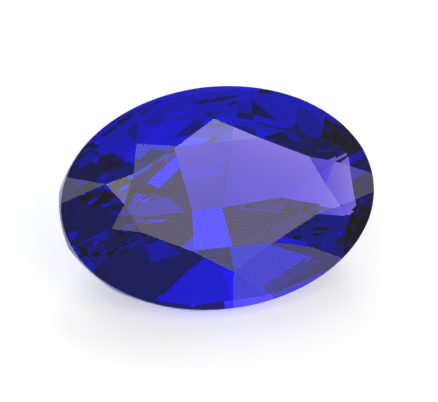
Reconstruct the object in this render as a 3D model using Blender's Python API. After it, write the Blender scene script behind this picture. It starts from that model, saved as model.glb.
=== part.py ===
import bpy
import bmesh
import math
from mathutils import Matrix, Vector

# An oval faceted tanzanite, resting on one of its long pavilion facets.
# It is cut the way a lapidary cuts it: an oval column of rough crystal is
# taken down by flat cuts, tier after tier. Lengths here are millimetres and
# angles are degrees; the finished stone is scaled to metres.
#
# The stone's own frame while it is cut: X along the oval, Y across it,
# Z up through the table, with Z = 0 at the upper edge of the girdle.

# Outline and girdle
LENGTH = 14.66
WIDTH = 10.0
GIRDLE_THICKNESS = 0.26
GIRDLE_SIDES = 96

# Crown
CROWN_HEIGHT = 1.15
PATTERN_TURN = -2.0
# Table corners in one quarter of the oval: on the long axis, then round to
# the corner beside the middle of the long side.
TABLE_END = 4.70
TABLE_SHOULDER = (4.10, 1.31)
TABLE_SIDE = (1.93, 2.36)
# Where the bezels touch the girdle, as the ellipse's own angle.
BEZEL_SHOULDER_ANGLE = 37.6
BEZEL_SIDE_ANGLE = 69.4
# How high the star tips stand, as a share of the crown's height.
STAR_END_HEIGHT = 0.75
STAR_SHOULDER_HEIGHT = 0.69
STAR_SIDE_HEIGHT = 0.76

# Pavilion, measured down from the girdle
KEEL_DEPTH = 4.38
KEEL_OFFSET = -0.28
KEEL_MIDDLE_HALF = 0.70
KEEL_END_HALF = 3.20
BACK_MAIN_SLOPE = 36.0
REST_MAIN_SLOPE = 38.0
SHOULDER_MAIN_AZIMUTH = 62.0
BACK_SHOULDER_SLOPE = 36.0
REST_SHOULDER_SLOPE = 38.0
END_MAIN_SLOPE = 32.0
LOWER_GIRDLE_COUNT = 12
LOWER_GIRDLE_PHASE = 0.0
LOWER_GIRDLE_SIDE_SLOPE = 54.0
LOWER_GIRDLE_END_SLOPE = 50.0

ON_PLANE = 1e-5
MERGE = 2e-3
METRES = 0.001


def clear_scene():
    for ob in list(bpy.data.objects):
        bpy.data.objects.remove(ob, do_unlink=True)


def material_tanzanite():
    mat = bpy.data.materials.new("tanzanite")
    mat.use_nodes = True
    shader = mat.node_tree.nodes["Principled BSDF"]
    shader.inputs["Base Color"].default_value = (0.16, 0.13, 0.72, 1.0)
    shader.inputs["Roughness"].default_value = 0.02
    shader.inputs["Metallic"].default_value = 0.0
    shader.inputs["IOR"].default_value = 1.695
    return mat


def girdle_point(angle, z=0.0):
    a = math.radians(angle)
    return Vector((0.5 * LENGTH * math.cos(a), 0.5 * WIDTH * math.sin(a), z))


def girdle_tangent(angle):
    a = math.radians(angle)
    return Vector((-0.5 * LENGTH * math.sin(a), 0.5 * WIDTH * math.cos(a), 0.0))


def girdle_normal(angle):
    t = girdle_tangent(angle)
    return Vector((t.y, -t.x, 0.0)).normalized()


def outward(normal, up):
    normal = normal.normalized()
    if (normal.z > 0.0) != up:
        normal = -normal
    return normal


def quarter_to_ring(on_axis, shoulder, side):
    # Ten corners from one quarter: two on the long axis, eight off it.
    ring = [(on_axis, 0.0)]
    ring += [shoulder, side]
    ring += [(-side[0], side[1]), (-shoulder[0], shoulder[1])]
    ring += [(-on_axis, 0.0)]
    ring += [(-shoulder[0], -shoulder[1]), (-side[0], -side[1])]
    ring += [(side[0], -side[1]), (shoulder[0], -shoulder[1])]
    return ring


def bezel_angles():
    a, b = BEZEL_SHOULDER_ANGLE, BEZEL_SIDE_ANGLE
    return [0.0, a, b, 180.0 - b, 180.0 - a, 180.0, 180.0 + a, 180.0 + b, 360.0 - b, 360.0 - a]


def star_heights():
    e, h, s = STAR_END_HEIGHT, STAR_SHOULDER_HEIGHT, STAR_SIDE_HEIGHT
    return [z * CROWN_HEIGHT for z in (e, h, s, h, e, e, h, s, h, e)]


def meet_at_height(point_a, normal_a, point_b, normal_b, z):
    # The point where two planes cross at height z.
    da = normal_a.dot(point_a) - normal_a.z * z
    db = normal_b.dot(point_b) - normal_b.z * z
    det = normal_a.x * normal_b.y - normal_a.y * normal_b.x
    x = (da * normal_b.y - db * normal_a.y) / det
    y = (normal_a.x * db - normal_b.x * da) / det
    return Vector((x, y, z))


def crown_cuts():
    # Each cut is a point on the facet and the facet's outward normal.
    cuts = [(Vector((0.0, 0.0, CROWN_HEIGHT)), Vector((0.0, 0.0, 1.0)))]
    ring = quarter_to_ring(TABLE_END, TABLE_SHOULDER, TABLE_SIDE)
    corners = [Vector((x, y, CROWN_HEIGHT)) for x, y in ring]
    angles = bezel_angles()
    bezels = []
    for corner, angle in zip(corners, angles):
        foot = girdle_point(angle)
        normal = outward((corner - foot).cross(girdle_tangent(angle)), True)
        bezels.append((foot, normal))
    cuts += bezels
    count = len(corners)
    for i, height in enumerate(star_heights()):
        j = (i + 1) % count
        tip = meet_at_height(*bezels[i], *bezels[j], height)
        star = outward((corners[j] - corners[i]).cross(tip - corners[i]), True)
        cuts.append((tip, star))
        end = angles[j] if j else 360.0
        for share in (0.25, 0.75):
            angle = angles[i] + share * (end - angles[i])
            foot = girdle_point(angle)
            normal = outward(girdle_tangent(angle).cross(tip - foot), True)
            cuts.append((foot, normal))
    turn = Matrix.Rotation(math.radians(PATTERN_TURN), 3, 'Z')
    return [(turn @ point, turn @ normal) for point, normal in cuts]


def facet_normal(azimuth, slope):
    a, s = math.radians(azimuth), math.radians(slope)
    return Vector((math.cos(a) * math.sin(s), math.sin(a) * math.sin(s), -math.cos(s)))


def pavilion_cuts():
    keel = Vector((0.0, KEEL_OFFSET, -KEEL_DEPTH))
    cuts = [(keel, facet_normal(90.0, BACK_MAIN_SLOPE))]
    cuts += [(keel, facet_normal(-90.0, REST_MAIN_SLOPE))]
    rise = math.cos(math.radians(SHOULDER_MAIN_AZIMUTH)) * math.tan(math.radians(BACK_SHOULDER_SLOPE))
    lift = (KEEL_END_HALF - KEEL_MIDDLE_HALF) * rise
    for side in (1.0, -1.0):
        bend = keel + Vector((side * KEEL_MIDDLE_HALF, 0.0, 0.0))
        azimuth = 90.0 - side * (90.0 - SHOULDER_MAIN_AZIMUTH)
        cuts.append((bend, facet_normal(azimuth, BACK_SHOULDER_SLOPE)))
        cuts.append((bend, facet_normal(-azimuth, REST_SHOULDER_SLOPE)))
        tip = keel + Vector((side * KEEL_END_HALF, 0.0, lift))
        cuts.append((tip, facet_normal(90.0 - side * 90.0, END_MAIN_SLOPE)))
    for i in range(LOWER_GIRDLE_COUNT):
        angle = 360.0 * (i + LOWER_GIRDLE_PHASE) / LOWER_GIRDLE_COUNT
        side_share = abs(math.sin(math.radians(angle)))
        slope = LOWER_GIRDLE_END_SLOPE + side_share * (LOWER_GIRDLE_SIDE_SLOPE - LOWER_GIRDLE_END_SLOPE)
        flat = girdle_normal(angle)
        azimuth = math.degrees(math.atan2(flat.y, flat.x))
        cuts.append((girdle_point(angle, -GIRDLE_THICKNESS), facet_normal(azimuth, slope)))
    return cuts


def oval_column(bm):
    height = 2.0 * (CROWN_HEIGHT + KEEL_DEPTH)
    bmesh.ops.create_cone(bm, cap_ends=True, segments=GIRDLE_SIDES, radius1=1.0, radius2=1.0, depth=height)
    bmesh.ops.scale(bm, vec=(0.5 * LENGTH, 0.5 * WIDTH, 1.0), verts=bm.verts)


def cut_facet(bm, point, normal):
    geom = bm.verts[:] + bm.edges[:] + bm.faces[:]
    bmesh.ops.bisect_plane(bm, geom=geom, dist=ON_PLANE, plane_co=point, plane_no=normal, clear_outer=True)
    rim = [e for e in bm.edges if e.is_boundary]
    if rim:
        bmesh.ops.holes_fill(bm, edges=rim, sides=0)


def rest_on_facet(bm):
    # Lean the stone until its resting facet lies flat, then set it down.
    lean = Matrix.Rotation(math.radians(REST_MAIN_SLOPE), 3, 'X')
    bmesh.ops.rotate(bm, cent=(0.0, 0.0, 0.0), matrix=lean, verts=bm.verts)
    xs = [v.co.x for v in bm.verts]
    ys = [v.co.y for v in bm.verts]
    zs = [v.co.z for v in bm.verts]
    foot = Vector((0.5 * (min(xs) + max(xs)), 0.5 * (min(ys) + max(ys)), min(zs)))
    bmesh.ops.translate(bm, vec=-foot, verts=bm.verts)
    bmesh.ops.scale(bm, vec=(METRES, METRES, METRES), verts=bm.verts)


def tanzanite(collection):
    bm = bmesh.new()
    oval_column(bm)
    for point, normal in crown_cuts() + pavilion_cuts():
        cut_facet(bm, point, normal)
    bmesh.ops.remove_doubles(bm, verts=bm.verts, dist=MERGE)
    bmesh.ops.dissolve_degenerate(bm, edges=bm.edges, dist=0.5 * MERGE)
    bmesh.ops.recalc_face_normals(bm, faces=bm.faces)
    rest_on_facet(bm)
    mesh = bpy.data.meshes.new("tanzanite")
    bm.to_mesh(mesh)
    bm.free()
    mesh.materials.append(material_tanzanite())
    stone = bpy.data.objects.new("tanzanite", mesh)
    collection.objects.link(stone)
    return stone


def main():
    clear_scene()
    collection = bpy.data.collections.new("oval faceted tanzanite")
    bpy.context.scene.collection.children.link(collection)
    tanzanite(collection)


main()
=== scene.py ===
import bpy
import math
from mathutils import Matrix, Vector

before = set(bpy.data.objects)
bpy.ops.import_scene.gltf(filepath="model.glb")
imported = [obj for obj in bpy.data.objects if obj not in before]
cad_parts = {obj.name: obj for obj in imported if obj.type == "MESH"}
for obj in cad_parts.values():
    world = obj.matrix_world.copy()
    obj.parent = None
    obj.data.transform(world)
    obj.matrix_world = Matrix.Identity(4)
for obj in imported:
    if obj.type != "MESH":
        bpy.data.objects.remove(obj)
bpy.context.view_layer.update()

scene = bpy.context.scene
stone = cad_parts["tanzanite"]

# The stone's pose: it leans on a pavilion facet, so its table faces up and
# forward. TABLE_SHIFT says how far the view is off the table's normal.
LEAN = math.radians(38.0)
CROWN_HEIGHT = 0.00115
TABLE_SHIFT = (0.303, 0.092)
ROLL = math.radians(9.32)

# Framing, from the photograph's own frame
FRAME_WIDTH_PX = 438.0
FRAME_HEIGHT_PX = 402.0
GIRDLE_CENTRE_PX = (218.4, 197.6)
METRES_PER_PX = 0.00004468
DISTANCE = 0.30
SENSOR = 36.0
NEAR_CLIP = 0.001
FAR_CLIP = 10.0

# Crystal: how fast it takes in red, green and blue light, per metre
ABSORB = (560.0, 690.0, 62.0)
ABSORB_MOST = 900.0
TANZANITE_IOR = 1.695
CRYSTAL_BOUNCES = 32

FLOOR_SIZE = 1.2
FLOOR_DROP = 0.00002
FLOOR_COLOUR = (0.72, 0.72, 0.72)
FLOOR_GLOW = 0.48
FLOOR_ROUGHNESS = 0.3
SKY = 0.22

WARM = (1.0, 0.87, 0.70)
NEUTRAL = (1.0, 1.0, 1.0)
COOL = (0.74, 0.85, 1.0)
LIGHT_DISTANCE = 1.0

# Soft round lights. Angles in degrees: azimuth from the front, to the right;
# height above the floor; half the angle that the light's disc fills.
LIGHTS = (
    ("table_key", 29, 54, 16, WARM, 1.7),
    ("top_star_box", 77, 72, 7, NEUTRAL, 2.8),
    ("overhead_small", 98, 87, 5, NEUTRAL, 1.2),
    ("upper_left_box", -60, 64, 15, NEUTRAL, 1.1),
    ("left_star_box", -28, 68, 7, WARM, 1.2),
    ("front_left_small", -17, 44, 6, WARM, 1.2),
    ("front_right_small", 18, 28, 5, NEUTRAL, 1.1),
    ("right_star_box", 54, 28, 7, WARM, 1.9),
    ("right_low_box", 78, 22, 8, WARM, 0.9),
    ("low_right_strip", 35, 4, 12, WARM, 0.9),
    ("back_box", -175, 35, 24, NEUTRAL, 1.9),
    ("back_right_box", 150, 38, 16, COOL, 1.2),
    ("left_fill", -75, 22, 18, COOL, 1.2),
)


def set_up_render():
    scene.view_settings.view_transform = "Standard"
    scene.view_settings.look = "None"
    cycles = scene.cycles
    cycles.max_bounces = CRYSTAL_BOUNCES
    cycles.transmission_bounces = CRYSTAL_BOUNCES
    cycles.glossy_bounces = 8
    cycles.diffuse_bounces = 4
    cycles.caustics_reflective = True
    cycles.caustics_refractive = True
    cycles.blur_glossy = 0.0
    cycles.sample_clamp_indirect = 8.0
    cycles.use_denoising = True


def crystal_look():
    mat = bpy.data.materials.new("tanzanite_crystal")
    mat.use_nodes = True
    nodes = mat.node_tree.nodes
    shader = nodes["Principled BSDF"]
    shader.inputs["Base Color"].default_value = (1.0, 1.0, 1.0, 1.0)
    shader.inputs["Roughness"].default_value = 0.0
    shader.inputs["IOR"].default_value = TANZANITE_IOR
    shader.inputs["Transmission Weight"].default_value = 1.0
    depth = nodes.new("ShaderNodeVolumeAbsorption")
    kept = [1.0 - rate / ABSORB_MOST for rate in ABSORB]
    depth.inputs["Color"].default_value = (*kept, 1.0)
    depth.inputs["Density"].default_value = ABSORB_MOST
    mat.node_tree.links.new(depth.outputs["Volume"], nodes["Material Output"].inputs["Volume"])
    return mat


def floor_look():
    mat = bpy.data.materials.new("floor_white")
    mat.use_nodes = True
    shader = mat.node_tree.nodes["Principled BSDF"]
    shader.inputs["Base Color"].default_value = (*FLOOR_COLOUR, 1.0)
    shader.inputs["Roughness"].default_value = FLOOR_ROUGHNESS
    shader.inputs["Emission Color"].default_value = (1.0, 1.0, 1.0, 1.0)
    shader.inputs["Emission Strength"].default_value = FLOOR_GLOW
    return mat


def dress_stone():
    stone.data.materials.clear()
    stone.data.materials.append(crystal_look())
    for poly in stone.data.polygons:
        poly.use_smooth = False


def add_floor():
    bpy.ops.mesh.primitive_plane_add(size=FLOOR_SIZE, location=(0.0, 0.0, -FLOOR_DROP))
    floor = bpy.context.object
    floor.name = "floor"
    floor.data.materials.append(floor_look())


def add_sky():
    world = bpy.data.worlds.new("studio")
    scene.world = world
    world.use_nodes = True
    background = world.node_tree.nodes["Background"]
    background.inputs["Color"].default_value = (1.0, 1.0, 1.0, 1.0)
    background.inputs["Strength"].default_value = SKY


def add_light(name, azimuth, height, half_angle, tint, radiance):
    a, h = math.radians(azimuth), math.radians(height)
    way = Vector((math.sin(a) * math.cos(h), -math.cos(a) * math.cos(h), math.sin(h)))
    radius = LIGHT_DISTANCE * math.tan(math.radians(half_angle))
    data = bpy.data.lights.new(name, "AREA")
    data.shape = "DISK"
    data.size = 2.0 * radius
    data.color = tint
    # A one-sided disc of this radiance sends out radiance x pi x its area.
    data.energy = radiance * math.pi * math.pi * radius ** 2
    light = bpy.data.objects.new(name, data)
    scene.collection.objects.link(light)
    turn = (-way).to_track_quat("-Z", "Y").to_matrix().to_4x4()
    light.matrix_world = Matrix.Translation(way * LIGHT_DISTANCE) @ turn


def girdle_centre(lean):
    # Middle of the girdle's upper edge, found from the mesh's own reach.
    verts = [v.co for v in stone.data.vertices]
    table_way = lean @ Vector((0.0, 0.0, 1.0))
    across = lean @ Vector((0.0, 1.0, 0.0))
    high = max(v.dot(table_way) for v in verts)
    reach = [v.dot(across) for v in verts]
    return table_way * (high - CROWN_HEIGHT) + across * 0.5 * (max(reach) + min(reach))


def add_camera():
    lean = Matrix.Rotation(LEAN, 3, "X")
    toward = lean @ Vector((-TABLE_SHIFT[0], -TABLE_SHIFT[1], 1.0)).normalized()
    right = (lean @ Vector((0.0, 1.0, 0.0))).cross(toward).normalized()
    above = toward.cross(right)
    cam_right = math.cos(ROLL) * right - math.sin(ROLL) * above
    cam_up = math.sin(ROLL) * right + math.cos(ROLL) * above
    dx = (GIRDLE_CENTRE_PX[0] - 0.5 * FRAME_WIDTH_PX) * METRES_PER_PX
    dy = (0.5 * FRAME_HEIGHT_PX - GIRDLE_CENTRE_PX[1]) * METRES_PER_PX
    target = girdle_centre(lean) - cam_right * dx - cam_up * dy
    data = bpy.data.cameras.new("camera")
    data.sensor_width = SENSOR
    data.lens = SENSOR * DISTANCE / (FRAME_WIDTH_PX * METRES_PER_PX)
    data.clip_start = NEAR_CLIP
    data.clip_end = FAR_CLIP
    cam = bpy.data.objects.new("camera", data)
    scene.collection.objects.link(cam)
    basis = Matrix((cam_right, cam_up, toward)).transposed().to_4x4()
    cam.matrix_world = Matrix.Translation(target + toward * DISTANCE) @ basis
    scene.camera = cam


set_up_render()
dress_stone()
add_floor()
add_sky()
for light in LIGHTS:
    add_light(*light)
add_camera()
